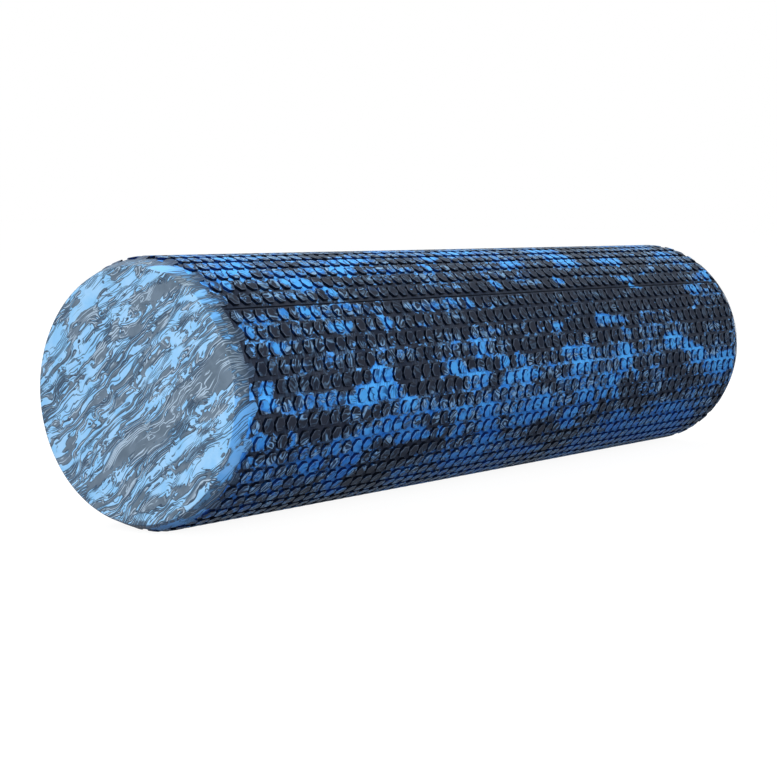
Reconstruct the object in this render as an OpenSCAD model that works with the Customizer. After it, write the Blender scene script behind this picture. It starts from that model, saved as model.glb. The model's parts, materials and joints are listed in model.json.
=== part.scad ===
/* [Roller] */
// Length from end face to end face
roller_l = 600; // [300:5:1000]
// Diameter over the flat tops of the pad rows
roller_d = 150; // [120:1:200]

/* [Skin] */
// Thickness of the moulded skin below the channels
skin_t = 5.4; // [4:0.1:12]
// Height of the pad rows above the channels
row_h = 1.8; // [0.6:0.1:3]
// Width of a pad row
row_w = 7.6; // [5:0.1:12]
// Narrowest channel between two pad rows
channel_w = 2.5; // [1:0.1:5]

/* [Mould seam] */
// Width of the bare land that each seam runs along
land_w = 4; // [2:0.1:8]
// Width of the thin ridge on the seam, both halves together
ridge_w = 0.8; // [0.4:0.1:1.6]
// Height of that ridge above the land
ridge_h = 0.5; // [0.2:0.1:1]
// Angle of the front seam above the horizontal
seam_rise = 41; // [0:1:80]

/* [Ends] */
// Length of the cut bevel along the axis
bevel_l = 13; // [4:0.5:30]
// Radius that the bevel takes off the end
bevel_drop = 5; // [2:0.1:5.5]

/* [Bond] */
// Bond line between the core and the skin
bond_gap = 0.1; // [0:0.05:0.3]

/* [Hidden] */
$fn = 96;

// Radii, from the pad tops inwards
top_r = roller_d / 2;
floor_r = top_r - row_h;
bore_r = floor_r - skin_t;
core_r = bore_r - bond_gap;
face_r = top_r - bevel_drop;

// Rows on one half of the skin, spread evenly from seam to seam
row_count = floor((PI * top_r - land_w + channel_w) / (row_w + channel_w));
first_row = (land_w + row_w) / 2 / top_r * 180 / PI;
row_step = (180 - 2 * first_row) / (row_count - 1);

// Rows and ridges reach this far into the skin, past the round of the floor
root = row_w * row_w / floor_r;
// The bevel's cone runs on past the corners of the rows
bevel_run = (bevel_drop + row_h) / bevel_drop;

// Colours of the marbled foam: cut ends and moulded skin
cut_blue = [0.47, 0.74, 0.95];
skin_blue = [0.25, 0.52, 0.85];
skin_dark = [0.23, 0.25, 0.30];

// Turns a cross-section drawn in Y and Z into a bar along the roller's axis
module along_axis() {
    translate([-roller_l / 2, 0, top_r])
        rotate([90, 0, 90])
            linear_extrude(roller_l)
                children();
}

// Everything inside the two end bevels
module bevel_envelope() {
    out_r = face_r + bevel_drop * bevel_run;
    out_x = bevel_l * bevel_run;
    translate([-roller_l / 2, 0, top_r])
        rotate([0, 90, 0])
            rotate_extrude()
                polygon([
                    [0, 0], [face_r, 0], [out_r, out_x],
                    [out_r, roller_l - out_x], [face_r, roller_l], [0, roller_l]
                ]);
}

// Half of the ring below the pads, over the angles 0 to 180
module half_ring() {
    difference() {
        circle(floor_r);
        circle(bore_r);
        translate([-roller_d, -2 * roller_d])
            square(2 * roller_d);
    }
}

// Cross-section of one pad row, pointing along the first axis
module row_section() {
    translate([floor_r - root, -row_w / 2])
        square([root + row_h, row_w]);
}

// Half of the seam ridge, on the edge where two skin halves meet
module half_ridge(side) {
    translate([floor_r - root, min(side, 0) * ridge_w / 2])
        square([root + ridge_h, ridge_w / 2]);
}

module half_section() {
    half_ring();
    for (i = [0 : row_count - 1])
        rotate(first_row + i * row_step)
            row_section();
    half_ridge(1);
    rotate(180)
        half_ridge(-1);
}

// One moulded half of the skin, its first edge at the given angle
module skin_half(start) {
    intersection() {
        along_axis()
            rotate(start)
                half_section();
        bevel_envelope();
    }
}

module foam_core() {
    color(cut_blue)
        translate([-roller_l / 2, 0, top_r])
            rotate([0, 90, 0])
                cylinder(h = roller_l, r = core_r);
}

module upper_skin() {
    color(skin_blue)
        skin_half(-seam_rise);
}

module lower_skin() {
    color(skin_dark)
        skin_half(180 - seam_rise);
}

foam_core();
upper_skin();
lower_skin();
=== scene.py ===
import json
import math
import random

import bmesh
import bpy
import numpy as np
from mathutils import Matrix, Vector


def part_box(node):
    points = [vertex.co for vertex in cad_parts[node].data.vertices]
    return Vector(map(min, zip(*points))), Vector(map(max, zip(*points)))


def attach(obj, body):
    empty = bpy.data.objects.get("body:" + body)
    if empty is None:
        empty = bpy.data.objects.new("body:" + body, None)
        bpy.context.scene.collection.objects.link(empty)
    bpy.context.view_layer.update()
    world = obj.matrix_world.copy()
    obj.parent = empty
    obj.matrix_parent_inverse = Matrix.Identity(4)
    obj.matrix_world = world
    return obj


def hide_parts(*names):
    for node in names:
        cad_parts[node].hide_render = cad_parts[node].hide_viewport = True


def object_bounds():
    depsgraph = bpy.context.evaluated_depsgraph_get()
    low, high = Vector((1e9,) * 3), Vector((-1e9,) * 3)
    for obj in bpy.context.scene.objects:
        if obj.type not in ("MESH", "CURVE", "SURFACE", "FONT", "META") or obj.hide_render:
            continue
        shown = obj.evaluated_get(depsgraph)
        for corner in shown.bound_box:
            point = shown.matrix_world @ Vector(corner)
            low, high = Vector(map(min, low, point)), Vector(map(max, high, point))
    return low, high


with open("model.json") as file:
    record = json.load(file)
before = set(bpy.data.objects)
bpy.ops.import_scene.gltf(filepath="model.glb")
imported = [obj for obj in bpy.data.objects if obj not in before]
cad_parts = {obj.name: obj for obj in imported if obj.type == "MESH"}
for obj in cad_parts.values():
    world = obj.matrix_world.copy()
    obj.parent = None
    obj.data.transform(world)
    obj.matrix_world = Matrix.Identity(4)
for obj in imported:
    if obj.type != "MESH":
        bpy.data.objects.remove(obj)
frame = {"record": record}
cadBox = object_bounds()
mm = 0.001

# the roller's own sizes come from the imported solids
rollerLong = cadBox[1][0] - cadBox[0][0]
topR = frame["record"]["mounts"][0]["pos_m"][2]     # the end mounts sit on the axis
coreLow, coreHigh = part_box("foam_core")
boreR = round((coreHigh[2] - coreLow[2]) / 2, 3)
print("frame loaded: length", round(rollerLong, 4), "top radius", round(topR, 4), "bore", boreR)


def linkNew(name, data):
    new = bpy.data.objects.new(name, data)
    bpy.context.scene.collection.objects.link(new)
    return new


# camera, fitted to the outline of the roller in the photograph

cameraSet = {
    "lens": 93.2,          # mm
    "sensor": 36.0,        # mm across
    "sees": 50.0,          # metres
    "azimuth": -55.0,      # degrees, 0 looks along +Y
    "elevation": 5.1,
    "roll": 0.47,
    "distance": 1.3239,    # metres from the middle of the roller
    "aside": -0.0355,
    "below": -0.0165,
}


def makeCamera(s):
    az, el, roll = (math.radians(s[k]) for k in ("azimuth", "elevation", "roll"))
    back = Vector((math.sin(az) * math.cos(el), -math.cos(az) * math.cos(el), math.sin(el)))
    flat = Vector((0, 0, 1)).cross(back).normalized()
    tall = back.cross(flat)
    right = flat * math.cos(roll) + tall * math.sin(roll)
    up = tall * math.cos(roll) - flat * math.sin(roll)
    place = Vector((0, 0, topR)) + back * s["distance"] + right * s["aside"] + up * s["below"]
    data = bpy.data.cameras.new("camera")
    data.lens = s["lens"]
    data.sensor_width = s["sensor"]
    data.clip_end = s["sees"]
    cam = linkNew("camera", data)
    turn = Matrix((right, up, back)).transposed().to_4x4()
    cam.matrix_world = Matrix.Translation(place) @ turn
    bpy.context.scene.camera = cam


makeCamera(cameraSet)
print("camera made")


# pad pattern and skin, all in millimetres unless a note says otherwise

skinSet = {
    "rows": 23,            # on each half
    "padLong": 8.3,        # corner to corner, along the axis
    "padWide": 7.6,        # flat to flat, round the roller
    "padStep": 9.8,        # along a row
    "padHigh": 1.8,
    "draft": 0.12,         # how much wider the foot is, each side
    "edge": 0.2,           # rounding of the top edge
    "rimIn": 0.8,          # share of that rounding by which the flat top is smaller
    "corner": 0.45,        # how much of each corner is rounded off
    "cornerIn": 0.27,      # and how far its middle comes in
    "land": 4.0,           # bare strip along each seam
    "ridgeWide": 0.8,
    "ridgeHigh": 0.5,
    "ridgeShape": ((0.0, 1.0), (0.55, 0.92), (1.0, 0.0)),    # half its section, as shares of width and height
    "ridgeMean": 0.75,     # its usual height, as a share
    "ridgeVary": 0.16,     # and how much that varies
    "ridgeWaves": ((1.0, 0.071, 1.0), (0.6, 0.193, 2.1), (0.4, 0.47, 0.0)),    # share, turns to a mm, start
    "frontSeam": 1.0,      # where those waves start on each seam
    "backSeam": 2.0,
    "seamRise": 41.0,      # degrees above the horizontal, on the front
    "upperPhase": 0.46,    # where the pads stand along the rows, in steps
    "lowerPhase": 0.84,
    "wobble": 0.05,        # how far a pad strays from its place
    "boreSteps": 138,      # sides of the half bore
    "padHash": (12.9898, 78.233, 3.7, 43758.5453),    # scatters the pads' own numbers
    "seed": 11,
}

endSet = {
    "bevelLong": 13.0,
    "bevelDrop": 5.0,
    "round": 0.9,          # rounding where the face meets the bevel
    "roundSteps": 6,
    "stations": (0.15, 0.32, 0.49, 0.66, 0.83, 1.0, 1.3),    # rings of points, as shares of the bevel
    "wave": 0.22,          # unevenness of the trimmed bevel
    "waves": ((1.0, 5, 1.0), (0.7, 13, 0.4), (0.5, 29, 0.0)),    # share, humps all round, turn to a mm
    "steps": 368,          # points all round
}

topMm = topR / mm
floorMm = topMm - skinSet["padHigh"]
boreMm = boreR / mm
halfMm = rollerLong / mm / 2
firstRow = (skinSet["land"] + skinSet["padWide"]) / 2 / topMm
rowStep = (math.pi - 2 * firstRow) / (skinSet["rows"] - 1)
seamAngle = math.radians(skinSet["seamRise"])
bevelSlant = math.hypot(endSet["bevelLong"], endSet["bevelDrop"])
bevelGain = (bevelSlant - endSet["bevelDrop"]) / endSet["bevelLong"]    # how much wider it is laid flat
sharpFrom = math.radians(38)    # edges sharper than this stay sharp


def onRoller(x, r, angle):
    # millimetres and an angle from +Y to a place in metres
    return (x * mm, r * math.cos(angle) * mm, topR + r * math.sin(angle) * mm)


def meshPiece(name, bm):
    # makes an object of a finished bmesh
    bmesh.ops.recalc_face_normals(bm, faces=bm.faces)
    mesh = bpy.data.meshes.new(name)
    bm.to_mesh(mesh)
    bm.free()
    return linkNew(name, mesh)


def hexRing(grow):
    # rounded hexagon, three points to a corner, points along the axis first
    s = skinSet
    long = s["padLong"] / 2 + grow
    wide = s["padWide"] / math.sqrt(3) + grow
    corners = [(long * math.cos(math.radians(a)), wide * math.sin(math.radians(a)))
               for a in range(0, 360, 60)]
    ring = []
    for k in range(6):
        here = Vector(corners[k])
        before = (Vector(corners[k - 1]) - here).normalized() * s["corner"]
        after = (Vector(corners[(k + 1) % 6]) - here).normalized() * s["corner"]
        ring += [here + before, here + (before + after) * s["cornerIn"], here + after]
    return ring


def ridgeHeight(x, seam):
    # the flash along the mould seam is never quite even
    s = skinSet
    wave = sum(share * math.sin(x * pace + begin * seam) for share, pace, begin in s["ridgeWaves"])
    return s["ridgeHigh"] * (s["ridgeMean"] + s["ridgeVary"] * wave)


def makeSkinBlank(name, start, phase, seams, draw):
    # one half of the skin, longer than the roller, before its ends are cut
    s = skinSet
    quarter = s["padStep"] / 4
    cells = int(math.ceil((halfMm + s["padStep"]) / s["padStep"]))
    last = 4 * cells + 2
    shift = phase * s["padStep"]
    bm = bmesh.new()

    def put(x, r, angle):
        return bm.verts.new(onRoller(x, r, start + angle))

    across = list(range(-last, last + 1))
    lines = []
    for i in range(s["rows"] + 1):
        angle = firstRow + (i - 0.5) * rowStep
        lines.append({q: put(q * quarter + shift, floorMm, angle) for q in across})

    # seam ridges, half of each on this half of the skin
    def ridge(edge, inwards, seam):
        strips = []
        for part, high in s["ridgeShape"]:
            angle = edge + inwards * part * s["ridgeWide"] / 2 / topMm
            strips.append({q: put(q * quarter + shift,
                                  floorMm + high * ridgeHeight(q * quarter + shift, seam), angle)
                           for q in across})
        return strips

    bands = ridge(0.0, 1, seams[0]) + [lines[0]]
    tail = [lines[-1]] + ridge(math.pi, -1, seams[1])[::-1]
    for group in (bands, tail):
        for low, high in zip(group, group[1:]):
            for q in across[:-1]:
                bm.faces.new((low[q], low[q + 1], high[q + 1], high[q]))

    # the rows of pads
    foot = hexRing(s["draft"])
    shoulder = hexRing(0.0)
    rim = hexRing(-s["edge"] * s["rimIn"])
    ringSize = len(foot)
    mids = []
    for i in range(s["rows"]):
        low, high = lines[i], lines[i + 1]
        centre = firstRow + i * rowStep
        odd = 2 * (i % 2)
        middles = [q for q in range(-4 * cells - odd, last + 1, 4) if -last <= q - 2 and q + 2 <= last]
        sides = {q: put(q * quarter + shift, floorMm, centre)
                 for q in sorted({m - 2 for m in middles} | {m + 2 for m in middles})}
        mids.append(sides)
        for m in middles:
            dx = draw.uniform(-1, 1) * s["wobble"]
            dt = draw.uniform(-1, 1) * s["wobble"]
            dr = draw.uniform(-1, 0) * s["wobble"]
            at = m * quarter + shift + dx
            turn = centre + dt / topMm

            def ringAt(points, r):
                return [put(at + p[0], r, turn + p[1] / topMm) for p in points]

            rings = [ringAt(foot, floorMm),
                     ringAt(shoulder, topMm - s["edge"] + dr),
                     ringAt(rim, topMm + dr)]
            middle = put(at, topMm + dr, turn)
            border = [(sides[m + 2], high[m + 2]), (high[m + 1], high[m]), (high[m - 1], high[m - 2]),
                      (sides[m - 2], low[m - 2]), (low[m - 1], low[m]), (low[m + 1], low[m + 2])]
            for k in range(6):
                a, b, c = rings[0][3 * k:3 * k + 3]
                d = rings[0][(3 * k + 3) % ringSize]
                outer, next1 = border[k]
                next2 = border[(k + 1) % 6][0]
                bm.faces.new((a, b, outer))
                bm.faces.new((b, c, outer))
                bm.faces.new((c, d, next2, next1, outer))
            for below, above in zip(rings, rings[1:]):
                for k in range(ringSize):
                    n = (k + 1) % ringSize
                    bm.faces.new((below[k], below[n], above[n], above[k]))
            for k in range(ringSize):
                bm.faces.new((rings[2][k], rings[2][(k + 1) % ringSize], middle))
        for end in (-last, last):   # plain half cells that square off the odd rows
            near = middles[0] - 2 if end < 0 else middles[-1] + 2
            if near != end:
                run = range(near, end - 1, -1) if end < 0 else range(near, end + 1)
                bm.faces.new([sides[near]] + [low[q] for q in run] + [high[q] for q in reversed(run)])

    # bore, seam faces and the two rough ends
    bore = {}
    for end in (-last, last):
        bore[end] = [put(end * quarter + shift, boreMm, math.pi * k / s["boreSteps"])
                     for k in range(s["boreSteps"] + 1)]
    for k in range(s["boreSteps"]):
        bm.faces.new((bore[-last][k], bore[-last][k + 1], bore[last][k + 1], bore[last][k]))
    for edge, k in ((bands[0], 0), (tail[-1], -1)):
        bm.faces.new([edge[q] for q in across] + [bore[last][k], bore[-last][k]])
    for end in (-last, last):
        outline = [strip[end] for strip in bands]
        for i in range(s["rows"]):
            if end in mids[i]:
                outline.append(mids[i][end])
            outline.append(lines[i + 1][end])
        outline += [strip[end] for strip in tail[1:]]
        bm.faces.new(outline + bore[end][::-1])
    loose = sum(not e.is_manifold for e in bm.edges)
    piece = meshPiece(name, bm)
    print(name, "blank:", len(piece.data.vertices), "points, open edges", loose)
    return piece


def endProfile():
    # half outline of the trimmed roller as (distance in from the end face, radius)
    e = endSet
    faceR = topMm - e["bevelDrop"]
    slope = math.atan2(e["bevelDrop"], e["bevelLong"])
    reach = e["round"] * math.tan((math.pi / 2 - slope) / 2)
    points = []
    for k in range(e["roundSteps"] + 1):
        t = k / e["roundSteps"] * (math.pi / 2 - slope)
        points.append((e["round"] * (1 - math.cos(t)), faceR - reach + e["round"] * math.sin(t)))
    for over in e["stations"]:
        points.append((e["bevelLong"] * over, faceR + e["bevelDrop"] * over))
    return points


def makeTrimmer():
    # what is left of the blank once its ends are trimmed
    e = endSet
    half = endProfile()
    outline = [(-halfMm + d, r) for d, r in half] + [(halfMm - d, r) for d, r in half[::-1]]
    bm = bmesh.new()
    rings = []
    for x, r in outline:
        far = (halfMm - abs(x)) / e["bevelLong"]
        ring = []
        for k in range(e["steps"]):
            a = 2 * math.pi * k / e["steps"]
            wave = sum(share * math.sin(humps * a + drift * x) for share, humps, drift in e["waves"])
            ring.append(bm.verts.new(onRoller(x, r + far * e["wave"] * wave, a)))
        rings.append(ring)
    for low, high in zip(rings, rings[1:]):
        for k in range(e["steps"]):
            n = (k + 1) % e["steps"]
            bm.faces.new((low[k], low[n], high[n], high[k]))
    bm.faces.new(rings[0])
    bm.faces.new(rings[-1])
    return meshPiece("trimmer", bm)


def trimEnds(piece, cutter):
    cut = piece.modifiers.new("trim", "BOOLEAN")
    cut.operation = "INTERSECT"
    cut.solver = "MANIFOLD"
    cut.material_mode = "TRANSFER"
    cut.object = cutter
    graph = bpy.context.evaluated_depsgraph_get()
    trimmed = bpy.data.meshes.new_from_object(piece.evaluated_get(graph))
    piece.modifiers.clear()
    rough = piece.data
    piece.data = trimmed
    bpy.data.meshes.remove(rough)
    trimmed.name = piece.name
    trimmed.shade_smooth()
    trimmed.set_sharp_from_angle(angle=sharpFrom)
    print(piece.name, "trimmed:", len(trimmed.vertices), "points", len(trimmed.polygons), "faces")


coreSet = {
    "rings": 48,           # of the end faces
    "bands": 12,           # along the hidden wall
}


def makeCore(name):
    # the log inside the skin, with its two flat cut ends
    steps = 2 * skinSet["boreSteps"]
    angles = [-seamAngle + 2 * math.pi * k / steps for k in range(steps)]
    bm = bmesh.new()
    rings = []
    for k in range(1, coreSet["rings"] + 1):
        rings.append((-halfMm, boreMm * k / coreSet["rings"]))
    for k in range(1, coreSet["bands"]):
        rings.append((-halfMm + 2 * halfMm * k / coreSet["bands"], boreMm))
    for k in range(coreSet["rings"], 0, -1):
        rings.append((halfMm, boreMm * k / coreSet["rings"]))
    loops = [[bm.verts.new(onRoller(x, r, a)) for a in angles] for x, r in rings]
    for low, high in zip(loops, loops[1:]):
        for k in range(steps):
            n = (k + 1) % steps
            bm.faces.new((low[k], low[n], high[n], high[k]))
    for x, loop in ((-halfMm, loops[0]), (halfMm, loops[-1])):
        middle = bm.verts.new(onRoller(x, 0.0, 0.0))
        for k in range(steps):
            bm.faces.new((loop[k], loop[(k + 1) % steps], middle))
    piece = meshPiece(name, bm)
    piece.data.shade_smooth()
    piece.data.set_sharp_from_angle(angle=sharpFrom)
    return piece


# where the marbling runs blue: (from x, to x, from angle, to angle) on the wall,
# x in mm from the middle and angles in degrees above the horizontal on the front

wallBlue = [
    (-254, -234, 82, 66), (-224, -208, 82, 74), (-168, -114, 74, 66), (-272, -248, 66, 58),
    (-192, -180, 66, 58), (-174, -148, 67, 56), (-62, -44, 74, 66), (-44, 12, 82, 73),
    (-80, -70, 66, 58), (-232, -200, 58, 50), (-282, -272, 58, 50), (-20, -12, 50, 43),
    (-196, -184, 50, 44), (-250, -244, 40, 33), (-232, -214, 40, 33), (-84, -78, 40, 33),
    (-64, -56, 40, 33), (-286, -279, 33, 25), (-212, -193, 32, 24), (-160, -151, 33, 26),
    (-272, -252, 24, 18), (-70, -62, 17, 10), (-284, -272, 9, 2), (-186, -157, 9, 2),
    (-199, -150, 3, -7), (-286, -268, 5, -4), (-208, -188, 2, -6), (-108, -88, 9, 2),
    (-114, -50, 4, 0), (-86, -60, 1, -6), (-50, 8, 1, -6), (-46, -38, 9, 2), (-30, -20, 9, 2),
    (-150, -134, -6, -13), (-288, -276, -13, -21), (-257, -250, -13, -21), (-196, -150, -16, -21),
    (-94, -72, -13, -21), (-66, -46, -13, -21), (-214, -206, -21, -29), (-194, -178, -21, -29),
    (-152, -113, -20, -29), (-107, -97, -21, -29), (-93, -79, -21, -29), (-60, -40, -20, -29),
    (-30, 20, -18, -29), (-240, -212, -28, -36), (-198, -180, -28, -36), (-62, -24, -28, -38),
    (-200, -176, -37, -52), (-80, -30, -37, -50), (-192, -160, -52, -60), (76, 112, 82, 72),
    (78, 118, 72, 57), (12, 40, 66, 58), (136, 180, 66, 58), (240, 262, 70, 62), (52, 66, 50, 43),
    (140, 166, 49, 42), (276, 288, 50, 43), (152, 172, 42, 38), (228, 252, 40, 33),
    (76, 120, 25, 18), (24, 40, 22, 18), (112, 124, 17, 11), (58, 66, 15, 10), (24, 78, 9, 5),
    (104, 128, 9, -6), (173, 201, 11, 3), (191, 219, 8, 0), (36, 76, 3, -5), (207, 241, 4, -8),
    (230, 294, -1, -14), (92, 106, -6, -14), (126, 136, -6, -14), (54, 74, -13, -21),
    (80, 94, -13, -21), (104, 112, -13, -21), (0, 20, -13, -21), (40, 66, -20, -36),
    (76, 84, -21, -29), (120, 140, -29, -44), (176, 232, -29, -40), (180, 255, -38, -64),
    (132, 160, -44, -58),
]
# where blue and dark are mixed pad by pad, the same way, with the tone of the mixture
wallMixed = [
    (-296, -160, 96, 50, -0.12), (-160, 130, 96, 64, -0.26), (130, 292, 96, 56, -0.4),
    (-160, 130, 64, 52, -0.45), (-290, -198, 52, 9, -0.42), (-198, -140, 50, 33, -0.3),
    (-140, -50, 40, 33, -0.25), (-84, -40, 26, 9, -0.4), (-160, -122, -4, -21, -0.12),
    (-136, -92, -2, -14, -0.2), (-90, 40, -14, -32, -0.1), (-90, 40, -5, -14, -0.3),
    (0, 130, 12, -22, -0.28), (130, 175, 14, -20, -0.3), (-210, -180, -12, -90, -0.1),
    (-296, -210, -12, -90, -0.3), (236, 288, 68, 50, -0.15), (-140, 60, -28, -90, 0.2),
    (60, 292, -24, -90, 0.35), (230, 292, 50, 28, -0.3), (0, 40, 54, 44, -0.3),
    (180, 215, 18, 8, -0.3), (-268, -200, 2, -8, 0.1), (-196, -150, -14, -24, 0.1),
    (150, 292, -8, -30, -0.2),
]

# on the near end face with its bevel laid flat: (right, up, half length, half width, lean), in mm
faceBlue = [
    (-56, 27, 11, 8, 60), (-43, 42, 5, 3.5, 45), (-31, 56, 12, 6, 50), (-33, 48, 8, 4, 20),
    (-22, 49, 5, 3.5, 60), (-14, 57, 9, 3.5, -40), (-3, 61, 8, 5, 60), (-15, 44, 9, 2.5, 50),
    (-7, 43, 8, 2.3, 65), (-27, 30, 10, 2.8, 45), (-34, 23, 9, 4, 35), (-45, 13, 6, 4.5, 30),
    (-34, 12, 5, 2.5, 20), (-40, -3, 16, 4, 33), (-52, -12, 6, 5, 30), (-62, 4, 9, 1.8, 40),
    (-60, -24, 4, 3.5, 0), (-9, 27, 8, 3, 30), (-3, 17, 8, 2.5, 35), (-31, -12, 5, 1.6, 60),
    (-14, -19, 9, 2.3, 55), (-27, -25, 14, 1.1, 38), (-38, -34, 12, 1.8, 38), (-24, -38, 10, 2, 38),
    (-24, -54, 11, 3, 22), (-8, -43, 8, 1.8, 35), (4, -48, 9, 2.6, 40), (3, 25, 10, 2, 17),
    (19, 33, 9, 2.4, 38), (29, 42, 8, 2.6, 42), (46, 51, 13, 1.8, 38), (54, 56, 5, 2.3, 35),
    (38, 53.5, 7, 1.9, 15), (46, 59, 5, 2.3, 50), (48.5, 65, 5, 2, 85), (10, 63, 10, 2.2, 20),
    (24, 71, 14, 4, 8), (22, 47, 9, 1.3, 28), (41, 39, 4, 2.5, 10), (31, 32, 6, 2.5, 25),
    (47, 31, 5, 1.8, 20), (14, 13, 8, 3.6, 38), (26, 22, 12, 3, 32), (19, 0, 13, 1.5, 40),
    (57, 46, 4, 3, 55), (66, 36, 5, 1.5, 15), (68, 30, 5, 1.6, 10), (55, 2, 4, 2.2, 35),
    (42, -10, 3, 2.3, 60), (50, -12, 8, 1.8, 5), (62, -7, 7, 2, 35), (69, 0, 6, 2.3, 55),
    (76, -9, 12, 6, 45), (65, -17, 9, 8, 40), (55, -28, 8, 6, 60), (48, -33, 10, 3.6, 28),
    (35, -41, 14, 2.8, 25), (22, -47, 12, 2.4, 28), (40, -22, 12, 3, 20), (26, -31, 10, 2.7, 38),
    (14, -41, 10, 2.8, 40), (63, -39, 6, 4.5, 50), (71, -30, 7, 5, 50), (79, -21, 7, 4, 50),
    (30, -57, 8, 1.8, 35), (8, -65, 8, 2.3, 5), (44, -65, 4, 3, 30), (24, -73, 22, 4, 18),
]
faceGrey = [
    (-44, 31, 6, 3, 45), (-33, 42, 9, 3.5, 20), (-24, 22, 7, 4.5, 60), (-13, 34, 6, 3, 75),
    (-1, 35, 9, 3.5, 20), (3, 50, 6, 4, 60), (-5, -28, 22, 5, 40), (-25, -47, 12, 2.3, 33),
    (-47, -38, 7, 1.8, 30), (-4, -50, 8, 3, 40), (20, 39, 7, 2.6, 45), (14, 55, 14, 4, 25),
    (28, 60, 12, 3, 15), (56, 15, 20, 8, 50), (62, 26, 7, 6, 60), (35, 3, 16, 4.5, 35),
    (55, -6, 12, 2.6, 28), (16, -20, 22, 5, 38), (35, -36, 8, 1.8, 25), (68, 43, 6, 4, 60),
    (75, 22, 7, 6, 60), (12, -58, 9, 2.3, 30), (52, -40, 6, 1.3, 70), (35, -47, 8, 1.3, 20),
    (64, -29, 7, 1.4, 60), (38, -63, 6, 3, 30), (63, 50, 9, 4, -50), (73, 35, 9, 4.5, -62),
    (79, 18, 10, 5, -75), (52, 62, 7, 3, -40), (66, -50, 9, 3, 52), (54, -63, 9, 3, 40),
]

toneSet = {
    "wallBase": -0.85,     # tone of the wall between the patches
    "wallBlue": 1.25,      # and inside them
    "backMixed": -0.25,    # tone of the mixed bands round the back
    "patchSway": ((2.5, 0.11, 0.21), (1.5, 0.29, -0.5)),    # how their edges waver: mm, by x, by angle
    "patchTilt": ((0.96, 0.083, 0.13), (0.6, 0.21, 0.4)),   # the same in degrees, round the roller
    "patchSquare": 2.4,    # 2 is an oval, more is squarer
    "patchFade": (0.6, 1.2),
    "seamDark": 0.5,       # how much darker the land along the seam is
    "seamFade": (1.2, 2.4),           # degrees from the seam
    "faceBase": 0.06,
    "streakFade": (0.65, 1.25),
    "cutFade": (-1.8, -0.8),          # mm from the bevel's cone, moulded skin to cut foam
    "faceDepth": 0.5,      # mm, anything nearer the end counts as its face
    "farBevel": 0.5,       # how much darker the far bevel is
    "backPatches": 70,     # on the side away from the camera
    "backLong": (12, 70),
    "backTall": (5, 12),
    "backReach": 298,      # mm from the middle
    "backAngles": (84, 292),
    "bandAngles": (95, 285, 24),      # first and last mixed band there, and the step
    "bandTall": 14,
    "bandReach": 300,
    "seed": 5,
}


def softStep(low, high, v):
    t = np.clip((v - low) / (high - low), 0.0, 1.0)
    return t * t * (3 - 2 * t)


def waver(x, angle, waves):
    return sum(reach * np.sin(x * byX + angle * byAngle) for reach, byX, byAngle in waves)


def patchCover(x, angle, patches):
    # 1 inside any of the patches, 0 well outside them, with wavering edges
    t = toneSet
    power = t["patchSquare"]
    swayed = x + waver(x, angle, t["patchSway"])
    tilted = angle + waver(x, angle, t["patchTilt"])
    cover = np.zeros_like(x)
    for x0, x1, a0, a1 in patches:
        dx = np.abs(swayed - (x0 + x1) / 2) / abs(x1 - x0) * 2
        around = (tilted - (a0 + a1) / 2 + 180) % 360 - 180
        da = np.abs(around) / abs(a1 - a0) * 2
        far = (dx ** power + da ** power) ** (1 / power)
        cover = np.maximum(cover, 1 - softStep(*t["patchFade"], far))
    return cover


def wallTone(x, angle):
    # x in mm, angle in degrees above the horizontal on the front, -180 to 180
    t = toneSet
    draw = random.Random(t["seed"])
    patches = list(wallBlue)
    for k in range(t["backPatches"]):
        long = draw.uniform(*t["backLong"])
        tall = draw.uniform(*t["backTall"])
        left = draw.uniform(-t["backReach"], t["backReach"] - long)
        low = draw.uniform(t["backAngles"][0], t["backAngles"][1] - tall)
        patches.append((left, left + long, low + tall, low))
    mixed = list(wallMixed)
    reach = t["bandReach"]
    for low in range(*t["bandAngles"]):
        left = draw.uniform(-reach, 0)
        right = draw.uniform(0, reach)
        mixed.append((left, right, low + t["bandTall"], low, t["backMixed"]))
    base = t["wallBase"]
    tone = np.full_like(x, base)
    for x0, x1, a0, a1, half in mixed:
        tone = np.maximum(tone, base + (half - base) * patchCover(x, angle, [(x0, x1, a0, a1)]))
    tone = tone + (t["wallBlue"] - tone) * patchCover(x, angle, patches)
    offSeam = np.abs(angle - skinSet["seamRise"])
    return tone - t["seamDark"] * (1 - softStep(*t["seamFade"], offSeam))


def streakCover(right, up, streaks):
    # 1 inside any of the leaning streaks, 0 well outside them
    cover = np.zeros_like(right)
    for u, v, long, wide, lean in streaks:
        c, s = math.cos(math.radians(lean)), math.sin(math.radians(lean))
        du, dv = right - u, up - v
        d = np.hypot((du * c + dv * s) / long, (dv * c - du * s) / wide)
        cover = np.maximum(cover, 1 - softStep(*toneSet["streakFade"], d))
    return cover


def faceTone(right, up):
    return toneSet["faceBase"] + streakCover(right, up, faceBlue) - streakCover(right, up, faceGrey)


def pointsOf(mesh):
    # the mesh's points in mm from the axis and the middle
    places = np.empty(len(mesh.vertices) * 3)
    mesh.vertices.foreach_get("co", places)
    x, y, z = (places.reshape(-1, 3) / mm).T
    return x, y, z - topMm


def keepNumbers(mesh, name, values):
    mesh.attributes.new(name, "FLOAT", "POINT").data.foreach_set("value", values.astype(np.float32))


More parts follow.
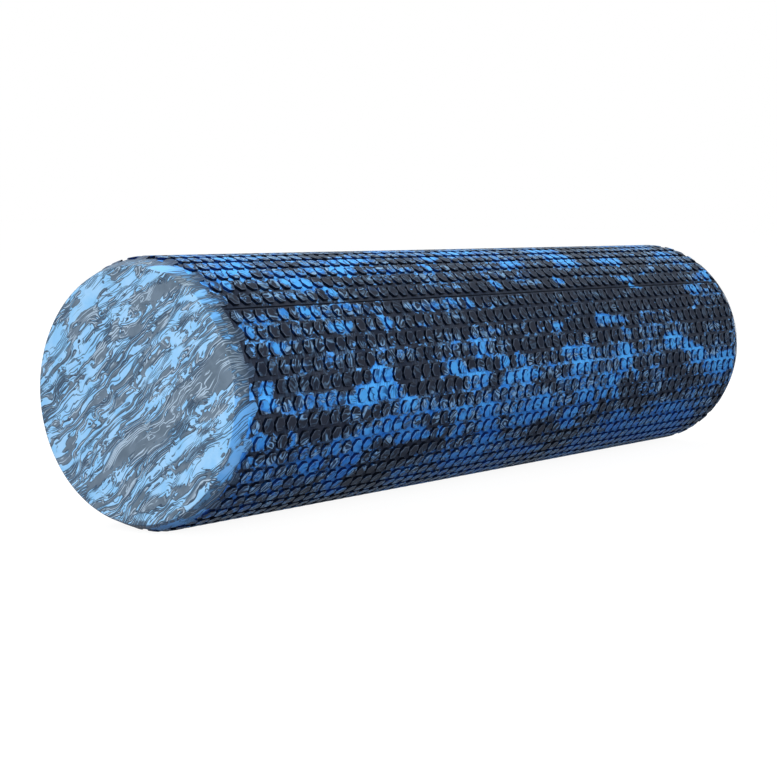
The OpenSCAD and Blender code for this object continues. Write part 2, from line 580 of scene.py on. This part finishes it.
def paintTone(piece):
    # how blue the foam is at every point, from the lists above
    t = toneSet
    x, y, z = pointsOf(piece.data)
    angle = np.degrees(np.arctan2(z, -y))
    r = np.hypot(y, z)
    depth = halfMm - np.abs(x)
    cone = topMm - endSet["bevelDrop"] + depth / endSet["bevelLong"] * endSet["bevelDrop"]
    cut = np.maximum(softStep(*t["cutFade"], r - cone), depth < t["faceDepth"])
    side = np.sign(-x)      # the far end carries the same streaks, turned half round
    flat = side * (1 + bevelGain * depth / np.maximum(r, 1.0))
    streaks = faceTone(-y * flat, z * flat) - t["farBevel"] * ((x > 0) & (depth > t["faceDepth"]))
    keepNumbers(piece.data, "tone", wallTone(x, angle) * (1 - cut) + streaks * cut)


def numberPads(piece, start, phase):
    # every pad gets a number of its own between 0 and 1, for the foam chips that it was pressed from,
    # and the channels get the distance from the nearest pad's foot, in mm
    s = skinSet
    x, y, z = pointsOf(piece.data)
    turn = (np.arctan2(z, y) - start) % (2 * math.pi)
    row = np.clip(np.round((turn - firstRow) / rowStep), 0, s["rows"] - 1)
    along = x / s["padStep"] - phase - 0.5 * (row % 2)
    byRow, byPad, byHalf, spread = s["padHash"]
    mix = np.sin(row * byRow + np.round(along) * byPad + start * byHalf) * spread
    du = np.abs(along - np.round(along)) * s["padStep"] / s["padLong"] * 2
    dv = np.abs(turn - firstRow - row * rowStep) * topMm / s["padWide"] * 2
    keepNumbers(piece.data, "pad", mix - np.floor(mix))
    keepNumbers(piece.data, "gap", (np.maximum(dv, du + dv / 2) - 1) * s["padWide"] / 2 - s["draft"])


# materials, in nodes

def link(tree, kind, *wires, **values):
    # a node with its settings; wires are (input, socket) pairs
    node = tree.nodes.new(kind)
    for key, value in values.items():
        setattr(node, key, value)
    for name, value in wires:
        if isinstance(value, bpy.types.NodeSocket):
            tree.links.new(value, node.inputs[name])
        else:
            node.inputs[name].default_value = value
    return node


def maths(tree, operation, a, b=0.0):
    return link(tree, "ShaderNodeMath", (0, a), (1, b), operation=operation).outputs[0]


def times(tree, a, b):
    return maths(tree, "MULTIPLY", a, b)


def vectorMaths(tree, operation, a, b):
    return link(tree, "ShaderNodeVectorMath", (0, a), (1, b), operation=operation).outputs[0]


def fit(tree, value, low, high, toLow=0.0, toHigh=1.0):
    node = link(tree, "ShaderNodeMapRange", ("Value", value), ("From Min", low), ("From Max", high),
                ("To Min", toLow), ("To Max", toHigh), interpolation_type="SMOOTHSTEP")
    return node.outputs["Result"]


def mixColour(tree, factor, a, b, blend="MIX"):
    node = tree.nodes.new("ShaderNodeMix")
    node.data_type = "RGBA"
    node.blend_type = blend
    for socket, value in ((node.inputs[0], factor), (node.inputs[6], a), (node.inputs[7], b)):
        if isinstance(value, bpy.types.NodeSocket):
            tree.links.new(value, socket)
        else:
            socket.default_value = value
    return node.outputs[2]


def fieldNoise(tree, place, size, detail, rough=0.55, distortion=0.0):
    # noise whose grain has the given size in mm along each axis
    scaled = vectorMaths(tree, "DIVIDE", place, size)
    return link(tree, "ShaderNodeTexNoise", ("Vector", scaled), ("Scale", 1.0), ("Detail", detail),
                ("Roughness", rough), ("Distortion", distortion), noise_dimensions="3D")


marbleSet = {
    "lean": 40.0,                     # degrees, how the streaks climb across the near end
    "swirlGrain": (140, 60, 48),      # broad swirl of the whole block, mm along x, streak and across
    "swirlReach": (60, 26, 11),
    "curlGrain": (50, 22, 14),        # smaller curls in it
    "curlReach": (18, 5, 1.7),
}


def rollerPlace(tree):
    # place in mm from the axis, distance from the axis and height over the channels
    coords = link(tree, "ShaderNodeTexCoord").outputs["Object"]
    centred = vectorMaths(tree, "SUBTRACT", coords, (0, 0, topR))
    place = vectorMaths(tree, "MULTIPLY", centred, (1 / mm, 1 / mm, 1 / mm))
    parts = link(tree, "ShaderNodeSeparateXYZ", ("Vector", place)).outputs
    square = maths(tree, "ADD", times(tree, parts[1], parts[1]), times(tree, parts[2], parts[2]))
    radius = maths(tree, "SQRT", square)
    return place, radius, maths(tree, "SUBTRACT", radius, floorMm)


def laidFlat(tree, place, radius):
    # the bevel opened out around the end face, so that the streaks run on over it
    parts = link(tree, "ShaderNodeSeparateXYZ", ("Vector", place)).outputs
    depth = maths(tree, "SUBTRACT", halfMm, maths(tree, "ABSOLUTE", parts[0]))
    grow = maths(tree, "DIVIDE", times(tree, depth, bevelGain), maths(tree, "MAXIMUM", radius, 1.0))
    grow = maths(tree, "ADD", grow, 1.0)
    end = times(tree, maths(tree, "SIGN", parts[0]), halfMm)
    return link(tree, "ShaderNodeCombineXYZ", ("X", end), ("Y", times(tree, parts[1], grow)),
                ("Z", times(tree, parts[2], grow))).outputs[0]


def stirred(tree, place):
    # turned so that the second axis runs along the streaks, then stirred
    m = marbleSet
    turned = link(tree, "ShaderNodeVectorRotate", ("Vector", place),
                  ("Angle", math.radians(m["lean"] - 180)), rotation_type="X_AXIS").outputs[0]
    for grain, reach in ((m["swirlGrain"], m["swirlReach"]), (m["curlGrain"], m["curlReach"])):
        push = fieldNoise(tree, turned, grain, 2.0).outputs["Color"]
        push = vectorMaths(tree, "SUBTRACT", push, (0.5, 0.5, 0.5))
        doubled = tuple(2 * v for v in reach)
        turned = vectorMaths(tree, "ADD", turned, vectorMaths(tree, "MULTIPLY", push, doubled))
    return turned


def paintedTone(tree):
    return link(tree, "ShaderNodeAttribute", attribute_name="tone").outputs["Fac"]


def marbleLevel(tree, space, layers, toneWeight, bias):
    # sum of noise layers and the painted tone: above 0 the foam is blue
    level = maths(tree, "ADD", times(tree, paintedTone(tree), toneWeight), bias)
    for grain, detail, weight in layers:
        noise = fieldNoise(tree, space, grain, detail, 0.6).outputs["Fac"]
        part = times(tree, maths(tree, "SUBTRACT", noise, 0.5), weight)
        level = maths(tree, "ADD", level, part)
    return level


def flowLines(tree, space, grain, detail, period, width, gate):
    # thin lines at even steps of a noise, fading in and out over the gate noise
    noise = fieldNoise(tree, space, grain, detail).outputs["Fac"]
    wave = maths(tree, "PINGPONG", noise, period)
    line = fit(tree, wave, width * 0.4, width, 1.0, 0.0)
    mask = fieldNoise(tree, space, gate, 2.0).outputs["Fac"]
    return times(tree, line, fit(tree, mask, 0.38, 0.55))


def flowField(tree, space, spacing, folds):
    # counts the ribbons across the streaks; the folds squeeze, spread and close them
    across = link(tree, "ShaderNodeSeparateXYZ", ("Vector", space)).outputs[2]
    field = maths(tree, "DIVIDE", across, spacing)
    for grain, detail, weight in folds:
        noise = fieldNoise(tree, space, grain, detail).outputs["Fac"]
        field = maths(tree, "ADD", field, times(tree, maths(tree, "SUBTRACT", noise, 0.5), weight))
    return field


def halves(tree, field, pace):
    # 0 and 1 by turns along the field; its steps make lines of even width
    return fit(tree, maths(tree, "PINGPONG", times(tree, field, pace), 0.5), 0.24, 0.26)


def difference(tree, pair):
    return maths(tree, "ABSOLUTE", maths(tree, "SUBTRACT", pair[0], pair[1]))


def emptyTree(owner):
    owner.use_nodes = True
    owner.node_tree.nodes.clear()
    return owner.node_tree


def newMaterial(name):
    material = bpy.data.materials.new(name)
    tree = emptyTree(material)
    out = tree.nodes.new("ShaderNodeOutputMaterial")
    shader = tree.nodes.new("ShaderNodeBsdfPrincipled")
    tree.links.new(shader.outputs[0], out.inputs[0])
    return material, tree, shader


cutSet = {
    "blue": (0.262, 0.545, 0.815, 1),
    "paleBlue": (0.352, 0.610, 0.845, 1),
    "grey": (0.155, 0.208, 0.258, 1),
    "darkGrey": (0.112, 0.154, 0.194, 1),
    "inkLine": (0.040, 0.062, 0.095, 1),
    "paleLine": (0.460, 0.590, 0.700, 1),
    "bevelBlue": (0.48, 0.66, 0.84, 1),       # the bevel is cut through the denser skin, and its darker colour is partly that and partly painted shade
    "bevelDusk": (0.32, 0.38, 0.44, 1),       # which is darker outside the blue patches
    "bevelGrey": (0.60, 0.63, 0.66, 1),
    "rimShade": (0.30, 0.36, 0.46, 1),        # and painted shade where it runs out between the pads
    "ribbon": 4.6,                            # mm from one blue ribbon to the next, before the folds
    "fine": 2.3,                              # how many thin ribbons to a broad one, where they are thin
    "folds": [((40, 90, 16), 2.0, 5.5), ((22, 62, 6), 2.0, 2.4)],
    "ragged": ((9, 22, 1.1), 2.0, 0.5),
    "toneWeight": 0.6,
    "thinGrain": (30, 44, 11),                # where the ribbons are thin
    "thinGate": (0.46, 0.52),
    "cloudGrain": (30, 12, 12),               # slow change from one blue or grey to the other
    "cloudGate": (0.35, 0.65),
    "outline": 0.55,                          # mm
    "outlineInk": 0.85,
    "soft": 0.03,                             # softness of the ribbons' edges
    "inkPace": 1.4,                           # dark lines in the blue, to a ribbon
    "inkGate": (0.41, 0.49),
    "ink": 0.8,
    "palePace": 1.15,                         # and pale lines in the grey
    "paleGate": (0.43, 0.51),
    "pale": 0.85,
    "bevelPale": 0.8,                         # how many of them run over the bevel
    "bevelFade": (-0.7, 0.2),                 # mm from the crease between face and bevel
    "patchGate": (0.15, 0.40),                # tones at which the bevel turns blue
    "rimReach": (-2.2, 1.0),                  # mm over the channels
    "rimBlue": 0.35,                          # share of the rim's shade left on the blue
    "roughness": 0.62,
    "specular": 0.12,
    "cells": 2.6,                             # foam cells to a mm
    "cellBump": 0.12,
    "cellHigh": 0.0002,                       # metres
}


def makeCutFoam():
    # cut end faces and bevels
    s = cutSet
    material, tree, shader = newMaterial("cut_foam")
    place, radius, over = rollerPlace(tree)
    space = stirred(tree, laidFlat(tree, place, radius))
    grain, detail, weight = s["ragged"]
    wanted = times(tree, paintedTone(tree), s["toneWeight"])
    mask = fieldNoise(tree, space, s["thinGrain"], 2.0)
    crease = topMm - floorMm - endSet["bevelDrop"]
    band = fit(tree, over, *(crease + v for v in s["bevelFade"]))
    thin = maths(tree, "MAXIMUM", fit(tree, mask.outputs["Fac"], *s["thinGate"]), band)
    blueness, paleSteps, inkSteps = [], [], []
    for aside in (-0.5, 0.5):    # looked at twice, so that the edges get an outline of even width
        looked = vectorMaths(tree, "ADD", space, (0, 0, aside * s["outline"]))
        field = flowField(tree, looked, s["ribbon"], s["folds"])
        broad = maths(tree, "PINGPONG", field, 0.5)
        narrow = maths(tree, "PINGPONG", times(tree, field, s["fine"]), 0.5)
        wave = fit(tree, thin, 0.0, 1.0, broad, narrow)
        ragged = maths(tree, "SUBTRACT", fieldNoise(tree, looked, grain, detail, 0.6).outputs["Fac"], 0.5)
        level = maths(tree, "SUBTRACT", maths(tree, "ADD", wanted, 0.5), times(tree, wave, 2.0))
        level = maths(tree, "ADD", level, times(tree, ragged, weight))
        blueness.append(fit(tree, level, -s["soft"], s["soft"]))
        paleSteps.append(halves(tree, field, s["palePace"]))
        inkSteps.append(halves(tree, field, s["inkPace"]))
    cloud = fit(tree, fieldNoise(tree, place, s["cloudGrain"], 3.0).outputs["Fac"], *s["cloudGate"])
    spots = link(tree, "ShaderNodeSeparateColor", ("Color", mask.outputs["Color"])).outputs
    paleGate = fit(tree, spots["Green"], *s["paleGate"])
    paleGate = maths(tree, "MAXIMUM", paleGate, times(tree, band, s["bevelPale"]))
    pale = times(tree, times(tree, difference(tree, paleSteps), paleGate), s["pale"])
    ink = times(tree, difference(tree, inkSteps), fit(tree, spots["Blue"], *s["inkGate"]))
    patch = fit(tree, wanted, *s["patchGate"])
    # painted shade where the bevel runs out between the pads
    rim = times(tree, fit(tree, over, *s["rimReach"]), fit(tree, patch, 0.0, 1.0, 1.0, s["rimBlue"]))
    blues = mixColour(tree, cloud, s["blue"], s["paleBlue"])
    blues = mixColour(tree, times(tree, ink, s["ink"]), blues, s["inkLine"])
    # the bevel made darker: partly its denser skin, partly painted shade
    blues = mixColour(tree, band, blues, mixColour(tree, patch, s["bevelDusk"], s["bevelBlue"]), "MULTIPLY")
    greys = mixColour(tree, cloud, s["darkGrey"], s["grey"])
    greys = mixColour(tree, pale, greys, s["paleLine"])
    greys = mixColour(tree, band, greys, s["bevelGrey"], "MULTIPLY")
    colour = mixColour(tree, blueness[0], greys, blues)
    edge = times(tree, difference(tree, blueness), s["outlineInk"])
    colour = mixColour(tree, edge, colour, s["inkLine"])
    colour = mixColour(tree, rim, colour, s["rimShade"], "MULTIPLY")
    tree.links.new(colour, shader.inputs["Base Color"])
    shader.inputs["Roughness"].default_value = s["roughness"]
    shader.inputs["Specular IOR Level"].default_value = s["specular"]
    cell = link(tree, "ShaderNodeTexVoronoi", ("Vector", place), ("Scale", s["cells"]), feature="F1")
    bump = link(tree, "ShaderNodeBump", ("Strength", s["cellBump"]), ("Distance", s["cellHigh"]),
                ("Height", cell.outputs["Distance"]))
    tree.links.new(bump.outputs[0], shader.inputs["Normal"])
    return material


mouldedSet = {
    "blue": (0.068, 0.300, 0.690, 1),
    "deepBlue": (0.024, 0.172, 0.560, 1),
    "lightBlue": (0.170, 0.450, 0.880, 1),       # flecks on the mixed pads
    "heartBlue": (0.085, 0.410, 0.870, 1),       # middle of the blue patches
    "dark": (0.0235, 0.0280, 0.0410, 1),
    "darker": (0.0135, 0.0185, 0.0320, 1),
    "slate": (0.029, 0.062, 0.130, 1),           # dark foam where the blue is near
    "paleLine": (0.205, 0.385, 0.610, 1),
    "inkLine": (0.010, 0.045, 0.150, 1),
    # painted highlight on the rounded top edges of the pads
    "rim": (0.150, 0.200, 0.280, 1),
    "grooveShade": (0.008, 0.050, 0.120, 1),     # painted shade on the pad walls, deep in the narrow channels
    "footShade": 0.85,                           # how dark the painted shade is in the channels at the feet of the pads
    "floorPaintedLight": (1.35, 1.35, 1.35, 1),          # painted light: the channel floors made as bright as the pads
    "floorPaintedShade": (0.75, 0.80, 0.92, 1),          # but painted shade on them on the underside
    "layers": [((80, 30, 14), 2.0, 0.5), ((24, 12, 7), 2.0, 0.8), ((5.0, 3.4, 3.2), 2.5, 1.1)],
    "toneWeight": 0.28,
    "bias": -0.008,
    "padFrom": (0.1, 0.4),             # mm over the channels, from channel to pad
    "padWeight": 0.18,                 # how much one pad differs from the next
    "padDark": 0.11,                   # and how much darker the pads are than the channels,
    "padDarkRise": (0.05, 0.35),       # half as much high up; heights from -1 to 1
    "jump": (400.0, 170.0),            # mm, how far apart the bits of foam are that the pads show
    "jumpTurn": 5.0,                   # and how far they are turned, in radians
    "cloudGrain": (18, 10, 10),        # slow change from one blue or dark to the other
    "cloudGate": (0.35, 0.65),
    "blueGate": (-0.13, 0.06),         # levels of the marbling, from dark to blue
    "fleck": 0.75,
    "fleckGate": (-0.20, 0.02),
    "heart": 0.7,
    "heartGate": (0.12, 0.30),
    "heartRise": (-0.45, -0.1),
    "slateGate": (-0.18, 0.06),
    "veinGrain": (6, 10, 17),
    "veinDetail": 1.4,
    "veinStep": 0.075,
    "veinWide": 0.036,
    "veinGate": (16, 12, 12),
    "veinBlue": (0.4, 0.85),           # their strength on blue channels and pads
    "veinDark": (0.3, 1.0),            # and on dark ones
    "veinNear": (0.12, 0.95),          # far from the blue and close to it
    "veinReach": (-0.26, -0.09),
    "wallEdge": (0.02, 0.06),          # mm over the channels where the pad walls begin
    "wallTop": (0.26, 0.20),           # mm under the pad tops where they end
    "rimTop": (0.16, 0.09),            # and where the painted highlight on the rim ends
    "rimHighlight": 0.55,
    "lipGrain": (9, 6, 6),             # the painted highlight on the rim spreads over the top here and there
    "lipWide": (-1.0, -0.4),           # mm from the edge of a pad
    "lipTop": (0.20, 0.12),
    "lipHighlight": 0.3,
    "footWide": (0.1, 0.55),           # mm from the foot of a pad
    "floorFade": (0.0, 0.08),          # mm over the channels
    "floorRise": (-0.5, -0.1),
    "roughness": 0.70,
    "specular": 0.03,
    "sheen": 0.15,
    "sheenTint": (0.75, 0.87, 1, 1),
    "sheenRough": 0.3,
    "grain": 1.4,                      # grains to a mm
    "grainBump": 0.15,
    "grainHigh": 0.0003,               # metres
}


def makeMouldedSkin():
    # the hot moulded wall with its pads
    s = mouldedSet
    material, tree, shader = newMaterial("moulded_skin")
    place, radius, over = rollerPlace(tree)
    space = stirred(tree, place)
    high = skinSet["padHigh"]
    onPad = fit(tree, over, *s["padFrom"])
    number = link(tree, "ShaderNodeAttribute", attribute_name="pad").outputs["Fac"]
    jump = times(tree, maths(tree, "ADD", number, 0.2), onPad)
    shift = link(tree, "ShaderNodeCombineXYZ", ("X", times(tree, jump, s["jump"][0])),
                 ("Z", times(tree, jump, s["jump"][1])))
    chips = vectorMaths(tree, "ADD", place, shift.outputs[0])    # every pad shows its own bit of foam

    # level: above 0 the foam is blue
    broad = marbleLevel(tree, space, s["layers"][:2], s["toneWeight"], s["bias"])
    own = times(tree, maths(tree, "SUBTRACT", number, 0.5), onPad)
    level = maths(tree, "ADD", broad, times(tree, own, s["padWeight"]))
    rise = link(tree, "ShaderNodeSeparateXYZ", ("Vector", place)).outputs[2]
    rise = maths(tree, "DIVIDE", rise, radius)    # -1 at the bottom of the roller, 1 at the top
    darker = fit(tree, rise, *s["padDarkRise"], s["padDark"], s["padDark"] / 2)
    level = maths(tree, "SUBTRACT", level, times(tree, onPad, darker))
    grain, detail, weight = s["layers"][2]
    fleck = fieldNoise(tree, chips, grain, detail, 0.6, 0.6).outputs["Fac"]
    level = maths(tree, "ADD", level, times(tree, maths(tree, "SUBTRACT", fleck, 0.5), weight))

    # blue foam, dark foam and the veins in both
    cloud = fit(tree, fieldNoise(tree, chips, s["cloudGrain"], 3.0).outputs["Fac"], *s["cloudGate"])
    leaning = link(tree, "ShaderNodeVectorRotate", ("Vector", chips),
                   ("Angle", times(tree, jump, s["jumpTurn"])), rotation_type="Y_AXIS").outputs[0]
    fine = flowLines(tree, leaning, s["veinGrain"], s["veinDetail"], s["veinStep"], s["veinWide"],
                     s["veinGate"])
    blues = mixColour(tree, cloud, s["blue"], s["deepBlue"])
    blues = mixColour(tree, fit(tree, broad, *s["fleckGate"], s["fleck"], 0.0), blues, s["lightBlue"])
    heart = fit(tree, broad, *s["heartGate"], 0.0, s["heart"])
    heart = times(tree, heart, fit(tree, rise, *s["heartRise"]))
    blues = mixColour(tree, heart, blues, s["heartBlue"])
    veins = times(tree, fine, fit(tree, onPad, 0.0, 1.0, *s["veinBlue"]))
    blues = mixColour(tree, veins, blues, s["inkLine"])
    darks = mixColour(tree, cloud, s["dark"], s["darker"])
    darks = mixColour(tree, fit(tree, broad, *s["slateGate"]), darks, s["slate"])
    veins = times(tree, fine, fit(tree, broad, *s["veinReach"], *s["veinNear"]))
    veins = times(tree, veins, fit(tree, onPad, 0.0, 1.0, *s["veinDark"]))
    darks = mixColour(tree, veins, darks, s["paleLine"])
    colour = mixColour(tree, fit(tree, level, *s["blueGate"]), darks, blues)

    # painted shade on the walls and feet of the pads, a painted highlight on their rims, and painted light
    # and shade on the channel floors
    wallTop = [high - v for v in s["wallTop"]]
    rimTop = [high - v for v in s["rimTop"]]
    lipTop = [high - v for v in s["lipTop"]]
    # painted shade on the pad walls and in the channels at their feet
    wall = times(tree, fit(tree, over, *s["wallEdge"]), fit(tree, over, *wallTop, 1.0, 0.0))
    gap = link(tree, "ShaderNodeAttribute", attribute_name="gap").outputs["Fac"]
    foot = times(tree, fit(tree, over, *s["wallEdge"], s["footShade"], 0.0),
                 fit(tree, gap, *s["footWide"], 1.0, 0.0))
    wall = maths(tree, "MAXIMUM", wall, foot)
    # painted highlight on the pads' rounded top edges
    rim = times(tree, fit(tree, over, *wallTop), fit(tree, over, *rimTop, 1.0, 0.0))
    colour = mixColour(tree, times(tree, rim, s["rimHighlight"]), colour, s["rim"])
    # the painted highlight spreads over the tops here and there
    lip = times(tree, fit(tree, gap, *s["lipWide"]), fit(tree, over, *lipTop))
    spread = fieldNoise(tree, chips, s["lipGrain"], 2.0).outputs["Fac"]
    lip = times(tree, lip, fit(tree, spread, 0.4, 0.6))
    colour = mixColour(tree, times(tree, lip, s["lipHighlight"]), colour, s["rim"])
    # painted light on the channel floors, turning to painted shade on the underside
    lift = mixColour(tree, fit(tree, rise, *s["floorRise"]), s["floorPaintedShade"], s["floorPaintedLight"])
    colour = mixColour(tree, fit(tree, over, *s["floorFade"], 1.0, 0.0), colour, lift, "MULTIPLY")
    # the painted shade goes on the walls and feet last
    colour = mixColour(tree, wall, colour, s["grooveShade"], "MULTIPLY")
    tree.links.new(colour, shader.inputs["Base Color"])
    shader.inputs["Roughness"].default_value = s["roughness"]
    shader.inputs["Specular IOR Level"].default_value = s["specular"]
    shader.inputs["Sheen Weight"].default_value = s["sheen"]
    shader.inputs["Sheen Tint"].default_value = s["sheenTint"]
    shader.inputs["Sheen Roughness"].default_value = s["sheenRough"]
    skinGrain = link(tree, "ShaderNodeTexNoise", ("Vector", place), ("Scale", s["grain"]), ("Detail", 3.0))
    bump = link(tree, "ShaderNodeBump", ("Strength", s["grainBump"]), ("Distance", s["grainHigh"]),
                ("Height", skinGrain.outputs["Fac"]))
    tree.links.new(bump.outputs[0], shader.inputs["Normal"])
    return material


cutFoam = makeCutFoam()
mouldedSkin = makeMouldedSkin()
print("materials made")


# build the pieces

draws = random.Random(skinSet["seed"])
core = makeCore("core_log")
core.data.materials.append(cutFoam)
upperStart = -seamAngle
lowerStart = math.pi - seamAngle
upperSeams = (skinSet["backSeam"], skinSet["frontSeam"])
upper = makeSkinBlank("upper_skin_pads", upperStart, skinSet["upperPhase"], upperSeams, draws)
lower = makeSkinBlank("lower_skin_pads", lowerStart, skinSet["lowerPhase"], upperSeams[::-1], draws)
trimmer = makeTrimmer()
trimmer.data.materials.append(cutFoam)
for piece in (upper, lower):
    piece.data.materials.append(mouldedSkin)
    trimEnds(piece, trimmer)
bpy.data.objects.remove(trimmer)
for piece in (core, upper, lower):
    paintTone(piece)
numberPads(upper, upperStart, skinSet["upperPhase"])
numberPads(lower, lowerStart, skinSet["lowerPhase"])
print("tones painted")

for piece, node, slot in ((core, "foam_core", "cut_foam"), (upper, "upper_skin", "moulded_skin"),
                          (lower, "lower_skin", "moulded_skin")):
    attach(piece, "root")
    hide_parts(node)
print("pieces made")


# floor, light and world

stageSet = {
    "floor": 30.0,         # metres across
    "skyLevel": 0.45,
    "floorBounce": (0.08, 0.12, 0.23, 1),    # what the floor reflects onto the roller
    "floorGlow": 0.93,     # the floor's own white, as the camera sees it
    "floorCatch": 0.16,    # and the part of it that takes the shadow
    "lamps": [             # name, place, size in metres, watts
        ("key", (-1.86, -1.44, 0.62), 1.6, 55),
        ("back", (-0.15, 1.15, 1.80), 1.4, 54),
        ("fill", (3.00, 0.0, 0.16), 0.7, 40),    # for the far end
    ],
}


def whiteToCamera(tree, lit, white):
    # what the camera, gloss and glass see is white; all other rays get the plain light
    rays = link(tree, "ShaderNodeLightPath").outputs
    seen = maths(tree, "MAXIMUM", rays["Is Camera Ray"], rays["Is Glossy Ray"])
    seen = maths(tree, "MAXIMUM", seen, rays["Is Transmission Ray"])
    return link(tree, "ShaderNodeMixShader", (0, seen), (1, lit.outputs[0]), (2, white.outputs[0])).outputs[0]


def makeFloor():
    size = stageSet["floor"] / 2
    mesh = bpy.data.meshes.new("floor")
    corners = [(-size, -size, 0), (size, -size, 0), (size, size, 0), (-size, size, 0)]
    mesh.from_pydata(corners, [], [(0, 1, 2, 3)])
    floor = linkNew("floor", mesh)
    material = bpy.data.materials.new("floor_white")
    tree = emptyTree(material)
    out = tree.nodes.new("ShaderNodeOutputMaterial")
    catch = stageSet["floorCatch"]
    plain = link(tree, "ShaderNodeBsdfDiffuse", ("Color", stageSet["floorBounce"]))
    shadow = link(tree, "ShaderNodeBsdfDiffuse", ("Color", (catch, catch, catch, 1)))
    glow = link(tree, "ShaderNodeEmission", ("Color", (1, 1, 1, 1)), ("Strength", stageSet["floorGlow"]))
    white = link(tree, "ShaderNodeAddShader", (0, shadow.outputs[0]), (1, glow.outputs[0]))
    tree.links.new(whiteToCamera(tree, plain, white), out.inputs[0])
    mesh.materials.append(material)


def makeLamp(name, place, size, power):
    data = bpy.data.lights.new(name, "AREA")
    data.shape = "DISK"
    data.size = size
    data.energy = power
    lamp = linkNew(name, data)
    lamp.location = place
    aim = Vector((0, 0, topR)) - Vector(place)
    lamp.rotation_euler = aim.to_track_quat("-Z", "Y").to_euler()


def makeWorld():
    world = bpy.data.worlds.new("studio")
    tree = emptyTree(world)
    out = tree.nodes.new("ShaderNodeOutputWorld")
    sky = link(tree, "ShaderNodeBackground", ("Color", (1, 1, 1, 1)), ("Strength", stageSet["skyLevel"]))
    white = link(tree, "ShaderNodeBackground", ("Color", (1, 1, 1, 1)), ("Strength", 1.0))
    tree.links.new(whiteToCamera(tree, sky, white), out.inputs[0])
    bpy.context.scene.world = world


makeFloor()
for lampSet in stageSet["lamps"]:
    makeLamp(*lampSet)
makeWorld()
bpy.context.scene.view_settings.view_transform = "Standard"
print("stage made")
